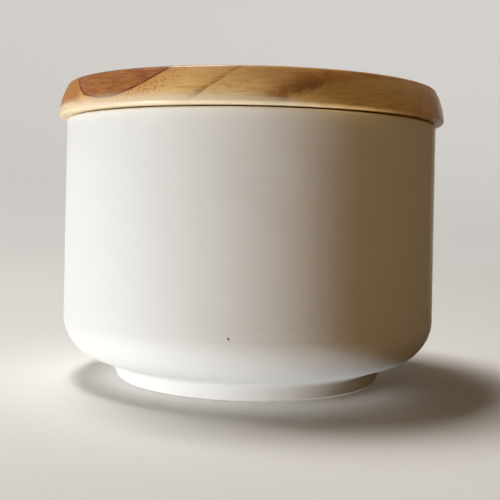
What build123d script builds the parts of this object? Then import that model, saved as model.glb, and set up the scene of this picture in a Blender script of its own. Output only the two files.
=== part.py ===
from build123d import *
import os
from math import asin, cos, degrees, radians, sin, tan

# A round ceramic canister with a push-in wooden lid.
# Millimetres. Z is up, and the origin is the centre of the circle that the foot stands on.

# The ceramic jar
jar_diameter = 120.0
jar_height = 82.2
wall = 5.0
floor_thickness = 6.4
corner_radius = 12.7
inner_corner_radius = 14.0
rim_outer_round = 0.9
rim_inner_round = 1.6

# The foot ring under the jar
foot_inset = 15.5
foot_height = 5.15
foot_taper = 2.2
foot_width = 5.0
foot_round = 1.0
foot_cove = 3.0
underside_slope = 20.0
recess_depth = 2.8
recess_draft = 1.0

# The wooden lid
lid_overhang = 2.5
lid_thickness = 10.6
lid_side_radius = 17.0
lid_top_round = 1.2
lid_bottom_round = 1.0
rim_gap = 0.4

# The plug that enters the mouth, and its groove
plug_clearance = 2.0
plug_depth = 11.0
plug_round = 1.2
groove_depth = 2.0
groove_width = 6.0
groove_below_lid = 2.5

# The seal ring
lip_clearance = 0.2
seal_clearance = 0.15
band_proud = 0.2
lip_count = 3
lip_root = 1.1
lip_tip = 0.6
lip_rise = 0.5
lip_round = 0.2

jar_radius = jar_diameter / 2
bore_radius = jar_radius - wall
lid_radius = jar_radius + lid_overhang
lid_underside = jar_height + rim_gap
plug_radius = bore_radius - plug_clearance
groove_radius = plug_radius - groove_depth
groove_top = lid_underside - groove_below_lid

# The outer corner is an arc that runs out into the sloping underside of the jar.
slope = radians(underside_slope)
foot_top_radius = jar_radius - foot_inset
corner_centre_r = jar_radius - corner_radius
corner_end_r = corner_centre_r + corner_radius * sin(slope)
corner_end_z = foot_height + (corner_end_r - foot_top_radius) * tan(slope)
corner_centre_z = corner_end_z + corner_radius * cos(slope)

foot_outer_radius = foot_top_radius - foot_taper
foot_inner_radius = foot_outer_radius - foot_width
floor_top = recess_depth + floor_thickness

with BuildPart() as jar:
    with BuildSketch(Plane.XZ) as jar_section:
        with BuildLine():
            underside = Polyline(
                (0, recess_depth),
                (foot_inner_radius - recess_draft, recess_depth),
                (foot_inner_radius, 0),
                (foot_outer_radius, 0),
                (foot_top_radius, foot_height),
                (corner_end_r, corner_end_z),
            )
            corner = CenterArc(
                (corner_centre_r, corner_centre_z),
                corner_radius,
                underside_slope - 90,
                90 - underside_slope,
            )
            inner_corner = CenterArc(
                (bore_radius - inner_corner_radius, floor_top + inner_corner_radius),
                inner_corner_radius,
                0,
                -90,
            )
            Polyline(
                corner @ 1,
                (jar_radius, jar_height),
                (bore_radius, jar_height),
                inner_corner @ 0,
            )
            Polyline(inner_corner @ 1, (0, floor_top), underside @ 0)
        make_face()
        corners = jar_section.vertices()
        rim_inner, rim_outer = corners.group_by(Axis.Y)[-1].sort_by(Axis.X)
        fillet(rim_outer, rim_outer_round)
        fillet(rim_inner, rim_inner_round)
        fillet(corners.group_by(Axis.Y)[0], foot_round)
        fillet(corners.sort_by_distance((foot_top_radius, foot_height))[0], foot_cove)
    revolve(axis=Axis.Z)
jar.part.label = "canister_body"

# The lid's side bulges gently, and is widest just above its lower edge.
widest_z = lid_underside + lid_bottom_round
lid_top = lid_underside + lid_thickness
side_turn = degrees(asin((lid_top - widest_z) / lid_side_radius))

with BuildPart() as lid:
    with BuildSketch(Plane.XZ) as lid_section:
        with BuildLine():
            lower_edge = CenterArc(
                (lid_radius - lid_bottom_round, widest_z), lid_bottom_round, -90, 90
            )
            side = CenterArc(
                (lid_radius - lid_side_radius, widest_z), lid_side_radius, 0, side_turn
            )
            Polyline(
                side @ 1,
                (0, lid_top),
                (0, lid_underside - plug_depth),
                (plug_radius, lid_underside - plug_depth),
                (plug_radius, groove_top - groove_width),
                (groove_radius, groove_top - groove_width),
                (groove_radius, groove_top),
                (plug_radius, groove_top),
                (plug_radius, lid_underside),
                lower_edge @ 0,
            )
        make_face()
        corners = lid_section.vertices()
        fillet(corners.group_by(Axis.Y)[-1].sort_by(Axis.X)[-1], lid_top_round)
        fillet(corners.group_by(Axis.Y)[0].sort_by(Axis.X)[-1], plug_round)
    revolve(axis=Axis.Z)
lid.part.label = "wooden_lid"

# The band lies in the groove, and its lips reach out to the wall of the mouth.
band_inner = groove_radius + seal_clearance
band_outer = plug_radius + band_proud
band_bottom = groove_top - groove_width + seal_clearance
band_top = groove_top - seal_clearance
lip_reach = bore_radius - lip_clearance
lip_pitch = (band_top - band_bottom - lip_root) / (lip_count - 1)

with BuildPart() as seal:
    with BuildSketch(Plane.XZ) as seal_section:
        with BuildLine():
            Polyline(
                (band_inner, band_bottom),
                (band_outer, band_bottom),
                (band_outer, band_top),
                (band_inner, band_top),
                close=True,
            )
        make_face()
        for lip in range(lip_count):
            root_z = band_bottom + lip * lip_pitch
            tip_z = root_z + lip_rise + (lip_root - lip_tip) / 2
            with BuildLine():
                Polyline(
                    (band_inner, root_z),
                    (band_outer, root_z),
                    (lip_reach, tip_z),
                    (lip_reach, tip_z + lip_tip),
                    (band_outer, root_z + lip_root),
                    (band_inner, root_z + lip_root),
                    close=True,
                )
            make_face()
        fillet(seal_section.vertices().group_by(Axis.X)[-1], lip_round)
    revolve(axis=Axis.Z)
seal.part.label = "seal_ring"

os.makedirs("parts", exist_ok=True)
for piece in (jar, lid, seal):
    export_step(piece.part, f"parts/{piece.part.label}.step")
    box = piece.part.bounding_box()
    print(piece.part.label, len(piece.part.solids()), "solid,", round(piece.part.volume), "mm3,",
          "z", round(box.min.Z, 2), "to", round(box.max.Z, 2), "mm, across", round(box.size.X, 2), "mm")
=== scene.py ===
# %% [markdown]
# # A ceramic canister with a wooden lid
#
# The real object is a squat jar of matt, off-white ceramic that stands on a low foot ring.
# A disc of varnished pine closes it, with a turned plug underneath that drops into the mouth.
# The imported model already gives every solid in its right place, so this lesson starts from it,
# turns a finer surface for each solid, and spends its effort on clay, wood and silicone.

# %% Load the fixed frame
from math import asin, cos, pi, radians, sin, sqrt, tan

import bmesh
import bpy
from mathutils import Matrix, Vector


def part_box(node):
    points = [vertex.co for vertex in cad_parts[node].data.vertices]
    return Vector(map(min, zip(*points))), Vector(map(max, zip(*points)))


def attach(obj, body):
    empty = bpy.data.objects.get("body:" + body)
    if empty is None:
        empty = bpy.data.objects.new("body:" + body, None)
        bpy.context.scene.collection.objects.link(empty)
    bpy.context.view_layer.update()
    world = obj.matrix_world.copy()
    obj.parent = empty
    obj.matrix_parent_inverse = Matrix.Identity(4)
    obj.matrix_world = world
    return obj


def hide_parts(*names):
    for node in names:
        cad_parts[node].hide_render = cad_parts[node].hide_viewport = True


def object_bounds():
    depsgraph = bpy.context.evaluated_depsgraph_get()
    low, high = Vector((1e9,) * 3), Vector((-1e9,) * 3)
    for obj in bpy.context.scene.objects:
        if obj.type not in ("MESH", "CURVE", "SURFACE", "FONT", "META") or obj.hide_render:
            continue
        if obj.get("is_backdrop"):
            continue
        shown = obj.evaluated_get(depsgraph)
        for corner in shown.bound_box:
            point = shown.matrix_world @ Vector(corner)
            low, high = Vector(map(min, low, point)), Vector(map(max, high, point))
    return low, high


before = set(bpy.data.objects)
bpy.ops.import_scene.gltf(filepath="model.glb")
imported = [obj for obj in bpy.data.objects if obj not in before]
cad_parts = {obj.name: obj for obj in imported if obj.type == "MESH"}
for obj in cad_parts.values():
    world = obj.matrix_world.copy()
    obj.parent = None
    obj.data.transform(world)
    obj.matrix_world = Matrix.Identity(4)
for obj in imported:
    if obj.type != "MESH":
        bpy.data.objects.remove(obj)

MM = 0.001
cad_box = [list(corner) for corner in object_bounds()]
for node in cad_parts:
    low, high = [[round(c / MM, 2) for c in corner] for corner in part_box(node)]
    print(node, "from", low, "to", high, "mm")

# %% [markdown]
# ## Turning a surface
#
# All three solids are round, as work from a wheel, a lathe and a mould is. They could be cut
# from cylinders, but a half outline spun about the axis is closer to how they are made, and it
# lets every edge have its own rounding. The outline is a chain of corners. Each corner is
# bevelled while it is still a single vertex, which gives a true arc, and only then is the chain
# spun into a surface. Long straight stretches are divided, so that the shading of a flat face
# doesn't lean on its edges.

# %% A helper that turns a half outline
ARC_STEP = radians(7.5)
LONGEST_STRETCH = 4.0
MERGE = 0.002 * MM


def turned(name, corners, steps=160, stretch=LONGEST_STRETCH, closed=False):
    """A turned surface. A corner is its radius, its height and the radius of its round, in mm."""
    bm = bmesh.new()
    chain = [bm.verts.new((r * MM, 0, z * MM)) for r, z, _ in corners]
    places = [v.co.copy() for v in chain]
    for first, second in zip(chain, chain[1:] + chain[:1] * closed):
        bm.edges.new((first, second))
    for i, (_, _, rounding) in enumerate(corners):
        if rounding:
            here, following = places[i], places[(i + 1) % len(places)]
            turn = (here - places[i - 1]).angle(following - here)
            bmesh.ops.bevel(
                bm, geom=[chain[i]], offset=rounding * MM * tan(turn / 2), offset_type="OFFSET",
                segments=max(2, round(turn / ARC_STEP)), profile=0.5, affect="VERTICES",
                material=-1)
    bmesh.ops.remove_doubles(bm, verts=bm.verts[:], dist=MERGE)
    for edge in bm.edges[:]:
        cuts = int(edge.calc_length() / (stretch * MM))
        if cuts:
            bmesh.ops.subdivide_edges(bm, edges=[edge], cuts=cuts)
    bmesh.ops.spin(
        bm, geom=bm.verts[:] + bm.edges[:], cent=(0, 0, 0), axis=(0, 0, 1), dvec=(0, 0, 0),
        angle=2 * pi, steps=steps, use_merge=True, use_duplicate=False)
    bmesh.ops.remove_doubles(bm, verts=bm.verts[:], dist=MERGE)
    bmesh.ops.recalc_face_normals(bm, faces=bm.faces[:])
    for face in bm.faces:
        face.smooth = True
    mesh = bpy.data.meshes.new(name)
    bm.to_mesh(mesh)
    bm.free()
    piece = bpy.data.objects.new(name, mesh)
    bpy.context.scene.collection.objects.link(piece)
    print(name, "has", len(mesh.polygons), "faces")
    return piece


# %% [markdown]
# ## The jar
#
# The wall is straight, and turns with a large round into an underside that slopes to the foot.
# The rim is rounded more on its inside, where the lid is dropped in. The sizes are those of the
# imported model, so the surface lies on the solid that it stands for.

# %% Turn the jar
RADIUS, HEIGHT, UNDERSIDE_SLOPE, OUTER_ROUND = 60.0, 82.2, radians(20), 12.7
BORE, FLOOR, INNER_ROUND = 55.0, 9.2, 14.0
FOOT_TOP, FOOT_HEIGHT, FOOT_OUTER, FOOT_INNER = 44.5, 5.15, 42.3, 37.3
RECESS, RECESS_DRAFT = 2.8, 1.0
corner_z = FOOT_HEIGHT + (RADIUS - FOOT_TOP) * tan(UNDERSIDE_SLOPE)

jar = turned("jar", [
    (0, RECESS, 0),
    (FOOT_INNER - RECESS_DRAFT, RECESS, 0.5),
    (FOOT_INNER, 0, 1.0),
    (FOOT_OUTER, 0, 1.0),
    (FOOT_TOP, FOOT_HEIGHT, 3.0),
    (RADIUS, corner_z, OUTER_ROUND),
    (RADIUS, HEIGHT, 0.9),
    (BORE, HEIGHT, 1.6),
    (BORE, FLOOR, INNER_ROUND),
    (0, FLOOR, 0),
])
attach(jar, "jar")
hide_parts("canister_body")

# %% [markdown]
# ## Shader maths
#
# A node tree is easier to follow as sums than as a web of boxes. One small class wraps a socket,
# and its operators add Math nodes, so that a mask can be written as 1 - mask. A second class
# holds the material and adds any other node. All patterns are read in millimetres from Object
# coordinates, so a grain line or a speck has a size that can be checked against the real thing.


# %% A wire that can be added and multiplied
class Wire:
    """One output of a node, for use in sums."""

    def __init__(self, finish, socket):
        self.finish, self.socket = finish, socket

    def math(self, operation, *values):
        return self.finish.node("ShaderNodeMath", dict(enumerate(values)), operation=operation)

    def __add__(self, other):
        return self.math("ADD", self, other)

    def __sub__(self, other):
        return self.math("SUBTRACT", self, other)

    def __rsub__(self, other):
        return self.math("SUBTRACT", other, self)

    def __mul__(self, other):
        return self.math("MULTIPLY", self, other)

    def __truediv__(self, other):
        return self.math("DIVIDE", self, other)

    def __pow__(self, other):
        return self.math("POWER", self, other)

    __radd__, __rmul__ = __add__, __mul__


# %% A finish, built one node at a time
class Finish:
    """A material, with its Object coordinates in mm ready for use."""

    def __init__(self, name):
        self.material = bpy.data.materials.new(name)
        self.material.use_nodes = True
        self.tree = self.material.node_tree
        self.tree.nodes.clear()
        metres = self.node("ShaderNodeTexCoord", output="Object")
        self.place = self.node(
            "ShaderNodeVectorMath", {0: metres, "Scale": 1 / MM}, operation="SCALE")
        self.x, self.y, self.z = self.parts(self.place)
        self.r = (self.x * self.x + self.y * self.y) ** 0.5

    def node(self, kind, inputs=None, output=0, **settings):
        """Adds a node: its settings first, then the values or wires of its inputs."""
        made = self.tree.nodes.new(kind)
        for key, value in settings.items():
            setattr(made, key, value)
        for key, value in (inputs or {}).items():
            if isinstance(value, Wire):
                self.tree.links.new(value.socket, made.inputs[key])
            else:
                made.inputs[key].default_value = value
        return Wire(self, made.outputs[output]) if made.outputs else None

    def parts(self, vector):
        split = self.node("ShaderNodeSeparateXYZ", {0: vector}).socket.node
        return [Wire(self, out) for out in split.outputs]

    def point(self, x, y, z):
        return self.node("ShaderNodeCombineXYZ", {0: x, 1: y, 2: z})

    def gap_to(self, place):
        return self.node(
            "ShaderNodeVectorMath", {0: self.place, 1: place}, output=1, operation="DISTANCE")

    def larger(self, value, other):
        return value.math("MAXIMUM", value, other)

    def size_of(self, value):
        return value.math("ABSOLUTE", value)

    def noise(self, size, where=None, detail=2.0, roughness=0.5):
        """Noise whose features are about size mm across, from 0 to 1."""
        return self.node("ShaderNodeTexNoise", {
            "Vector": where or self.place, "Scale": 1 / size,
            "Detail": detail, "Roughness": roughness})

    def ripple(self, *size_and_place, **grading):
        """The same noise, swinging about zero."""
        return self.noise(*size_and_place, **grading) - 0.5

    def ease(self, value, low, high, start=0.0, end=1.0):
        """A smooth step from start to end as the value goes from low to high."""
        return self.node("ShaderNodeMapRange", {
            0: value, 1: low, 2: high, 3: start, 4: end}, interpolation_type="SMOOTHSTEP")

    def blend(self, share, first, second):
        """A colour that goes from first to second as the share goes from 0 to 1."""
        first, second = [c if isinstance(c, Wire) else (*c, 1) for c in (first, second)]
        return self.node(
            "ShaderNodeMix", {0: share, 6: first, 7: second}, output=2, data_type="RGBA")

    def spots(self, spacing, radius, where=None):
        """Small round spots, one to a cell of the given spacing, and of no more than the radius."""
        distance = self.node(
            "ShaderNodeTexVoronoi", {"Vector": where or self.place, "Scale": 1 / spacing})
        return self.ease(distance * spacing, radius, 0.6 * radius)

    def surface(self, colour, roughness, height, **constants):
        """The shader. height is the relief in mm, and the constants are its other inputs."""
        normal = self.node("ShaderNodeBump", {"Height": height, "Distance": MM, "Strength": 1.0})
        inputs = {"Base Color": colour, "Roughness": roughness, "Normal": normal}
        inputs.update({key.replace("_", " "): value for key, value in constants.items()})
        return self.output(self.node("ShaderNodeBsdfPrincipled", inputs))

    def output(self, shader):
        self.node("ShaderNodeOutputMaterial", {0: shader})
        print(self.material.name, "has", len(self.tree.nodes), "nodes")
        return self.material

    def seen_directly(self):
        """1 where the camera or a glass looks, 1/4 where a gloss does, 0 where light bounces."""
        path = self.node("ShaderNodeLightPath").socket.node
        kinds = ("Is Camera Ray", "Is Glossy Ray", "Is Transmission Ray")
        camera, glossy, through = [Wire(self, path.outputs[kind]) for kind in kinds]
        return self.larger(self.larger(camera, through), glossy * 0.25)


# %% [markdown]
# ## Matt ceramic
#
# The outside is a dry, matt coat that was brushed on while the jar turned, so faint level
# streaks run round it. A plain white would look like plastic. What reads as clay is very
# shallow: streaks of a few hundredths of a millimetre, a grain like fine sand, a soft
# unevenness, a few dark specks and one pinhole in the front.

# %% Streaks, sand and specks
clay = Finish("matt_ceramic")
around = clay.point(clay.x * 0.03, clay.y * 0.03, clay.z)
streaks = clay.ripple(0.9, around, detail=3.0, roughness=0.65)
bands = clay.ripple(7.0, around)
sand = clay.ripple(0.35, roughness=0.6)
patches = clay.ripple(30.0)
specks = clay.spots(11.0, 0.28) * clay.ease(clay.noise(25.0), 0.42, 0.55)
PINHOLE = (-4.8, -59.8, 20.6)
# The pinhole mask carries a shallow dent and painted shade: its dark colour is the shade inside the
# hole.
pinhole = clay.ease(clay.gap_to(PINHOLE), 0.45, 0.2)
print("the pinhole is", PINHOLE[2], "mm above the table")

# %% [markdown]
# ## Glaze and bare clay
#
# Inside, and over the inner half of the rim, a glossy glaze lies on the clay, and its edge
# wanders as a poured edge does. The standing face of the foot is bare clay, a little darker, and
# rubbed where it has stood. Two pieces would need a seam, so masks part one surface instead.

# %% Mark out the glaze and the foot
GLAZE_EDGE, BELOW_FLOOR = 57.5, 3.0
wander = clay.ripple(6.0) * 0.7
bowl = clay.larger(clay.r - (BORE - INNER_ROUND), 0) ** 2 * 0.045 + (FLOOR - BELOW_FLOOR)
inside_edge = clay.ease(clay.r + wander, GLAZE_EDGE + 0.1, GLAZE_EDGE - 0.1)
glazed = inside_edge * clay.ease(clay.z - bowl, -0.3, 0.3)
foot_face = clay.ease(clay.z + clay.ripple(3.0) * 0.5, 0.5, 0.1)
rubbed = foot_face * clay.ease(clay.noise(2.5, detail=4.0), 0.5, 0.62)
print("the glaze ends on the rim at radius", GLAZE_EDGE, "mm")

# %% Finish the ceramic
tone = streaks * 0.10 + bands * 0.08 + patches * 0.10 + 0.5
coat = clay.blend(tone, (0.775, 0.765, 0.745), (0.865, 0.86, 0.845))
coat = clay.blend(foot_face * 0.8, coat, (0.72, 0.68, 0.61))
coat = clay.blend(rubbed * 0.5, coat, (0.56, 0.53, 0.48))
coat = clay.blend(specks * 0.55, coat, (0.30, 0.25, 0.20))
# The pinhole's near-black colour is painted shade inside the hole; the hole itself is only a
# shallow bump dent.
coat = clay.blend(pinhole * 0.8, coat, (0.16, 0.13, 0.10))
coat = clay.blend(glazed, coat, (0.86, 0.85, 0.82))

roughness = clay.ease(glazed, 0, 1, 0.68, 0.14) + sand * 0.10 * (1 - glazed)
relief = streaks * 0.035 + bands * 0.05 + sand * 0.02
relief = relief * (1 - glazed) + patches * 0.35 - pinhole * 0.2 + glazed * 0.03
jar.data.materials.append(clay.surface(coat, roughness, relief))

# %% [markdown]
# ## The lid
#
# The lid is one piece of wood. Its side bulges gently and is widest just above the lower edge,
# and a plug with a groove for the seal is turned on its underside. The side's two arcs meet the
# top round without a corner, so the outline needs the place where the wide arc ends. That
# follows from the two radii, and is worked out here and not guessed.

# %% Turn the lid
LID_RADIUS, LID_UNDERSIDE, LID_TOP = 62.5, 82.6, 93.2
SIDE_ROUND, TOP_ROUND, LOWER_ROUND = 17.0, 1.2, 1.0
PLUG_RADIUS, PLUG_BOTTOM, PLUG_ROUND = 53, 71.6, 1.2
GROOVE_RADIUS, GROOVE_BOTTOM, GROOVE_TOP, TURNED_EDGE = 51, 74.1, 80.1, 0.25
widest = LID_UNDERSIDE + LOWER_ROUND
side_turn = asin((LID_TOP - TOP_ROUND - widest) / (SIDE_ROUND - TOP_ROUND))
side_end_r = LID_RADIUS - SIDE_ROUND * (1 - cos(side_turn))
side_end_z = widest + SIDE_ROUND * sin(side_turn)
shoulder_r = side_end_r - (LID_TOP - side_end_z) * tan(side_turn)

lid = turned("lid", [
    (0, PLUG_BOTTOM, 0),
    (PLUG_RADIUS, PLUG_BOTTOM, PLUG_ROUND),
    (PLUG_RADIUS, GROOVE_BOTTOM, TURNED_EDGE),
    (GROOVE_RADIUS, GROOVE_BOTTOM, TURNED_EDGE),
    (GROOVE_RADIUS, GROOVE_TOP, TURNED_EDGE),
    (PLUG_RADIUS, GROOVE_TOP, TURNED_EDGE),
    (PLUG_RADIUS, LID_UNDERSIDE, TURNED_EDGE),
    (LID_RADIUS, LID_UNDERSIDE, LOWER_ROUND),
    (LID_RADIUS, widest + SIDE_ROUND * tan(side_turn / 2), SIDE_ROUND),
    (shoulder_r, LID_TOP, TOP_ROUND),
    (0, LID_TOP, 0),
])
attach(lid, "lid")
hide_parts("wooden_lid")

# %% [markdown]
# ## Pine
#
# Wood is a stack of yearly rings round a pith, and any cut through it shows the same rings. A
# picture of grain wrapped round a disc would break at its edges, so the rings are worked out in
# space instead: the pith is a line above the lid, and the distance to that line tells how old
# the wood is at any point. The lid's side then shows the end of the rings where the cut crosses
# them, and its top shows arches. The grain bends a little at one end, and every ring wavers.

# %% Rings round the pith
pine = Finish("lid_wood")
GRAIN = (0.832, 0.555)
PITH_ACROSS, PITH_ABOVE_TOP = 15.3, 18.2
STRAIGHT_UP_TO, BEND = -17, 0.0068
EYE_EDGE = 26.2

along = pine.x * GRAIN[0] + pine.y * GRAIN[1]
across = pine.x * GRAIN[1] - pine.y * GRAIN[0] - PITH_ACROSS
rise = pine.larger(along - STRAIGHT_UP_TO, 0) ** 2 * BEND
above = pine.z - rise - (LID_TOP + PITH_ABOVE_TOP)
grain_place = pine.point(along * 0.12, across, above)
waver = pine.ripple(9.0, grain_place, detail=1.0) * 1.4
from_pith = (across * across + above * above) ** 0.5 + waver
from_eye = from_pith - EYE_EDGE
eye_width = 2 * sqrt(EYE_EDGE ** 2 - PITH_ABOVE_TOP ** 2)
print("the eye is", round(eye_width, 1), "mm wide on the top face")

# %% [markdown]
# ## Fibres and tool marks
#
# Fine fibres run along the grain, so their noise is stretched that way. Where the side cuts
# across them it shows end grain, which is speckled with pores and takes up more varnish. The
# lathe leaves fine marks that run level round the side and in circles on the top, and one noise
# gives both, because it is read by height less radius.

# %% Fibres, tool marks and end grain
TOP_MARKS_END, SIDE_MARKS_START = 56, 61
fibre_place = pine.point(along * 0.04, across, above)
fibres = pine.ripple(0.5, fibre_place, detail=3.0, roughness=0.6)
streaks = pine.ripple(1.5, fibre_place, detail=4.0, roughness=0.65)
clouds = pine.ripple(12.0, grain_place, detail=3.0)
on_side = pine.ease(pine.r, TOP_MARKS_END, SIDE_MARKS_START)
lathe_place = pine.point(pine.x * 0.09, pine.y * 0.09, pine.z - pine.r)
tool_marks = pine.ripple(0.55, lathe_place, detail=4.0, roughness=0.7) * (on_side * 0.75 + 0.25)
side_x, side_y = pine.x / pine.r, pine.y / pine.r
end_grain = pine.size_of(side_x * GRAIN[0] + side_y * GRAIN[1]) * on_side
pore_place = pine.point(along * 0.3, across, above)
pores = pine.ease(pine.ripple(0.4, pore_place), 0.08, 0.18) * end_grain
print("the top's marks turn into the side's", TOP_MARKS_END, "to", SIDE_MARKS_START, "mm out")

# %% [markdown]
# ## The colour of the wood
#
# In each ring the wood goes from pale to orange and ends in a dark line. Its age in rings is a
# number whose fraction says how far a point lies through its own ring, and the whole colour
# follows from that fraction. The wood is also painted darker towards the top, as painted shade
# on the upper part of the side, and the same tint covers the top face.

# %% The colour of each ring
RING, WIDE_RING = 11.6, 24.0
spacing = pine.ease(across, -22, 4, WIDE_RING, RING)
age = from_eye / spacing + streaks * 0.05 + tool_marks * 0.10
share = age.math("FRACT", age)
before = pine.ease(age, 1.1, 1.7, 0.11, 0.42)
after = pine.ease(age, 1.1, 1.7, 0.03, 0.14)
late = pine.ease(share, 0.4, 1.0) * pine.ease(age, 0.8, 1.3, 0.45, 1.0)
line = pine.ease(share + before, 1.0, 1.0 + before * 0.9)
fade = pine.ease(share / after, 1.0, 0.0) * pine.ease(age, 0.5, 0.9)
blotches = pine.ease(pine.ripple(3.5, detail=3.0), -0.12, 0.06, 0.35, 0.95)
wood = pine.blend(clouds + 0.5, (0.96, 0.68, 0.29), (0.86, 0.52, 0.17))
wood = pine.blend(late * 0.8, wood, (0.66, 0.33, 0.085))
wood = pine.blend(pine.larger(line, fade) * blotches, wood, (0.34, 0.13, 0.035))
# Painted shade: the wood darkens towards the top of the side and over the top face.
painted_top_shade = pine.ease(pine.z + clouds * 4, 86.0, 92.5)
wood = pine.blend(painted_top_shade * 0.55, wood, (0.64, 0.32, 0.10))
wood = pine.blend(tool_marks * -2.0, wood, (1.0, 0.74, 0.35))
print("a ring is", RING, "to", WIDE_RING, "mm wide")

# %% [markdown]
# ## The eye
#
# The oldest rings are red-brown heartwood. The front left of the lid cuts through them, and they
# show there as a dark eye with a darker outline, a warm halo and specks beside it. The same
# distance to the pith places all of these, so they meet the rings where they should.

# %% The eye, its outline and the specks beside it
halo = pine.ease(from_eye + tool_marks * 10, 7.5, 0.0)
flank = pine.ease(across, -9, -17) * pine.ease(pine.z + clouds * 2, 84.2, 86.0)
specks = pine.spots(0.9, 0.42, pine.point(pine.x, pine.y, pine.z * 1.3))
specks = specks * pine.ease(from_eye, 6.0, 3.5) * pine.ease(pine.ripple(3.0), -0.12, 0.02)
wood = pine.blend(halo * 0.7, wood, (0.68, 0.30, 0.10))
wood = pine.blend(flank * end_grain, wood, (0.46, 0.19, 0.045))
wood = pine.blend(specks * end_grain * 0.7, wood, (0.36, 0.13, 0.045))
heart = pine.blend(pine.ease(tool_marks, -0.2, 0.2), (0.25, 0.08, 0.022), (0.46, 0.18, 0.06))
heart = pine.blend(pine.ease(streaks, -0.05, 0.2) * 0.5, heart, (0.21, 0.065, 0.02))
heart = pine.blend(pine.spots(1.0, 0.24) * 0.6, heart, (0.13, 0.04, 0.012))
wood = pine.blend(pine.ease(from_eye, 0.06, -0.06), wood, heart)
outline = pine.ease(from_eye, -0.7, -0.25) * pine.ease(from_eye, 0.2, 0.0)
wood = pine.blend(outline * 0.9, wood, (0.13, 0.034, 0.010))
print("the eye reaches", EYE_EDGE, "mm from the pith")

# %% [markdown]
# ## Painted highlight and varnish
#
# The lower edge is painted pale, most of all at the front left: a painted highlight where light
# from below catches the rounded edge. Over everything lies a thin varnish: a weak, glossy coat on
# a base that keeps the grain's own relief, and not a thick, even gloss, which would hide that the
# surface was turned.

# %% Fibre lines, pores and the painted highlight on the lower edge
HIGHLIGHT_LEFT, HIGHLIGHT_RIGHT = 4.6, 0.8
wood = pine.blend(fibres * 0.5 + 0.04, wood, (0.42, 0.19, 0.06))
turned_lines = streaks * (2.6 - on_side * 1.4) + tool_marks * 2.4
wood = pine.blend(turned_lines, wood, (0.54, 0.24, 0.07))
wood = pine.blend(pores * 0.15, wood, (0.33, 0.15, 0.05))
# The pale lower edge is a painted highlight. It is highest at the front left and fades out towards
# the right.
edge_height = pine.ease(side_x, -0.2, 0.5, HIGHLIGHT_LEFT, HIGHLIGHT_RIGHT)
painted_edge_highlight = pine.ease((pine.z - LID_UNDERSIDE + tool_marks * 2.0) / edge_height, 1.0, 0.1)
painted_edge_highlight = painted_edge_highlight * pine.ease(side_x, 0.1, 0.5, 0.75, 0.0)
wood = pine.blend(painted_edge_highlight, wood, (0.95, 0.84, 0.62))
# The printed heights are those of the painted highlight on the lower edge.
print("the rubbed edge is", HIGHLIGHT_LEFT, "mm high on the left and", HIGHLIGHT_RIGHT, "on the right")

# %% Varnish the wood
sheen = fibres * 0.12 + clouds * 0.10 + 0.38
fibre_relief = fibres * 0.03 + tool_marks * 0.03 - pores * 0.03
lid.data.materials.append(pine.surface(
    wood, sheen, fibre_relief, Coat_Weight=0.25, Coat_Roughness=0.16, Specular_IOR_Level=0.25))

# %% [markdown]
# ## The seal
#
# A band of milky silicone lies in the groove of the plug. Its lips bend against the wall of the
# mouth and hold the lid. It is moulded, so the section is a band with tapered lips that all lean
# upwards.

# %% Turn the seal
BAND_INNER, BAND_OUTER, LIP_REACH = 51.15, 53.2, 54.8
BAND_BOTTOM, BAND_TOP = 74.25, 79.95
LIPS, LIP_ROOT, LIP_TIP, LIP_RISE = 3, 1.1, 0.6, 0.5
pitch = (BAND_TOP - BAND_BOTTOM - LIP_ROOT) / (LIPS - 1)

section = [(BAND_INNER, BAND_BOTTOM, 0.2)]
for lip in range(LIPS):
    root = BAND_BOTTOM + lip * pitch
    tip = root + LIP_RISE + (LIP_ROOT - LIP_TIP) / 2
    section += [
        (BAND_OUTER, root, 0.15),
        (LIP_REACH, tip, 0.2),
        (LIP_REACH, tip + LIP_TIP, 0.2),
        (BAND_OUTER, root + LIP_ROOT, 0.15),
    ]
section.append((BAND_INNER, BAND_TOP, 0.2))
seal = turned("seal", section, closed=True)
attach(seal, "seal")
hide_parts("seal_ring")

# %% [markdown]
# ## Silicone
#
# Silicone is milky and soft to look at, and it gathers dust. The mould leaves a thin parting line
# near its upper edge. A dull, pale surface with a little dust says all that, without the cost of
# light that travels through it.

# %% Finish the silicone
rubber = Finish("seal_silicone")
mould = rubber.ripple(0.5)
dust = rubber.ease(rubber.noise(0.25, detail=3.0), 0.62, 0.75)
milk = rubber.blend(rubber.noise(8.0), (0.76, 0.75, 0.70), (0.84, 0.83, 0.79))
milk = rubber.blend(dust * 0.25, milk, (0.55, 0.50, 0.43))
PARTING = BAND_TOP - 0.4
parting = rubber.ease(rubber.size_of(rubber.z - PARTING), 0.12, 0.04)
seal.data.materials.append(rubber.surface(
    milk, mould * 0.15 + 0.42, mould * 0.02 + parting * 0.05))

# %% [markdown]
# ## The sheet
#
# The jar stands on a pale, seamless sheet that curves up behind it. The sheet is the kind used on
# a shooting table: light from a lamp underneath passes through it, so it throws no shadow, and
# its far part glows a little. To the jar it gives back only a dim, warm light, as a room does, so
# the shaded side stays dark.

# %% Lay the sheet
SHEET_REACH, SHEET_CURVE, SHEET_HEIGHT, UNDER_FOOT = 1200.0, 500.0, 1300.0, -0.05
sheet = turned("sheet", [
    (0, UNDER_FOOT, 0),
    (SHEET_REACH, UNDER_FOOT, SHEET_CURVE),
    (SHEET_REACH, SHEET_HEIGHT, 0),
], steps=96, stretch=200.0)
sheet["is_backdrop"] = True
sheet.visible_shadow = False

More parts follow.
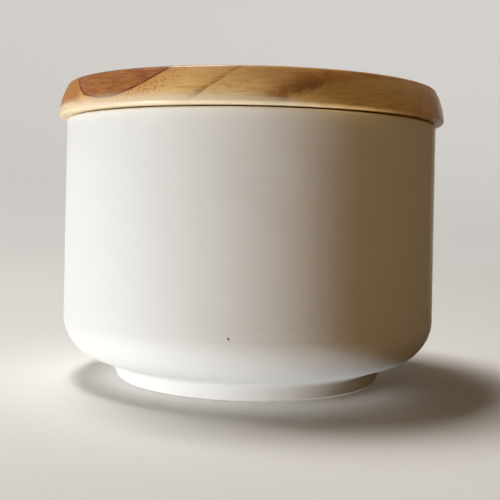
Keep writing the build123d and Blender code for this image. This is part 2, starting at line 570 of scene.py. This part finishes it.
# %% Colour the sheet
GLOW_STARTS, GLOW_FULL, GLOW_SHARE = 150, 900, 0.40
paper = Finish("pale_sheet")
mottle = paper.noise(2.0, detail=4.0)
seen = paper.blend(mottle, (0.79, 0.78, 0.76), (0.81, 0.80, 0.78))
pale = paper.node("ShaderNodeBsdfDiffuse", {"Color": seen})
dim = paper.node("ShaderNodeBsdfDiffuse", {"Color": (0.24, 0.165, 0.085, 1)})
glow = paper.node("ShaderNodeEmission", {"Color": (0.95, 0.94, 0.92, 1), "Strength": 1.0})
far = paper.ease(paper.r, GLOW_STARTS, GLOW_FULL, 0.0, GLOW_SHARE)
pale = paper.node("ShaderNodeMixShader", {0: far, 1: pale, 2: glow})
sheet.data.materials.append(paper.output(
    paper.node("ShaderNodeMixShader", {0: paper.seen_directly(), 1: dim, 2: pale})))

# %% [markdown]
# ## The lamps
#
# Four soft lamps light the scene. The key comes from the front left and from below, which
# brightens the underside and the lower edge of the lid. A weak, warm one beside the camera gives
# the middle of the wall its warm tone. One hangs overhead and lights the sheet and the lid. The
# last stands behind, low down, where it gives form to the back and leaves the front as it is.
# The room adds a trace of warm light from everywhere.

# %% Set the lamps
MIDDLE = Vector((0, 0, 0.047))


def softbox(name, azimuth, elevation, distance, size, power, colour):
    """A square lamp that faces the middle. Azimuth 0 is in front, and 90 is on the right."""
    lamp = bpy.data.lights.new(name, "AREA")
    lamp.shape, lamp.size, lamp.energy, lamp.color = "SQUARE", size, power, colour
    box = bpy.data.objects.new(name, lamp)
    azimuth, elevation = radians(azimuth), radians(elevation)
    away = Vector((
        sin(azimuth) * cos(elevation), -cos(azimuth) * cos(elevation), sin(elevation)))
    box.location = MIDDLE + away * distance
    box.rotation_euler = away.to_track_quat("Z", "Y").to_euler()
    bpy.context.scene.collection.objects.link(box)
    print(name, "stands at", [round(c, 2) for c in box.location])


softbox("key", -63, -29, 1.6, 0.4, 29.2, (0.89, 0.945, 0.985))
softbox("warm", -16, 5, 1.2, 0.4, 1.2, (1.0, 0.62, 0.28))
softbox("overhead", -122, 73, 1.0, 0.35, 8.5, (1.0, 0.99, 0.97))
softbox("back", 160, 3, 2.2, 0.6, 15.0, (1.0, 0.96, 0.90))

# %% Light the room
ROOM_COLOUR, ROOM_STRENGTH = (1.0, 0.72, 0.36, 1), 0.02
world = bpy.data.worlds.new("room")
bpy.context.scene.world = world
world.use_nodes = True
backdrop = world.node_tree.nodes["Background"]
backdrop.inputs["Color"].default_value = ROOM_COLOUR
backdrop.inputs["Strength"].default_value = ROOM_STRENGTH
print("the room's strength is", ROOM_STRENGTH)

# %% [markdown]
# ## The camera
#
# The photograph was taken from a little above the middle of the jar, level, and from close by,
# with a slight tilt of the camera. The sight line meets the jar above the middle of the picture,
# which a small vertical shift gives without bending the sides of the jar.

# %% Place the camera
FOCAL_PIXELS, PICTURE_PIXELS = 869.7, 500
SIGHT_LINE_PIXEL = 200.8
CAMERA_DISTANCE, CAMERA_HEIGHT, CAMERA_TILT = 0.2896, 0.0572, -0.0209
camera_data = bpy.data.cameras.new("camera")
camera_data.sensor_width = 36.0
camera_data.lens = camera_data.sensor_width * FOCAL_PIXELS / PICTURE_PIXELS
camera_data.shift_y = (SIGHT_LINE_PIXEL - PICTURE_PIXELS / 2) / PICTURE_PIXELS
camera = bpy.data.objects.new("camera", camera_data)
camera.location = (0, -CAMERA_DISTANCE, CAMERA_HEIGHT)
camera.rotation_euler = (pi / 2, CAMERA_TILT, 0)
bpy.context.scene.collection.objects.link(camera)
bpy.context.scene.camera = camera
bpy.context.scene.view_settings.view_transform = "Standard"
print("lens", round(camera_data.lens, 1), "mm, shift", round(camera_data.shift_y, 4))

# %% [markdown]
# ## Both boxes
#
# The box of the imported model and the box of the dressed canister are both printed. The dressed
# canister has to stay the size of the imported model.

# %% Print both boxes
visual_box = [list(corner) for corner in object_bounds()]
for name, (low, high) in (("packed", cad_box), ("dressed", visual_box)):
    print(name, [round((b - a) / MM, 2) for a, b in zip(low, high)], "mm")
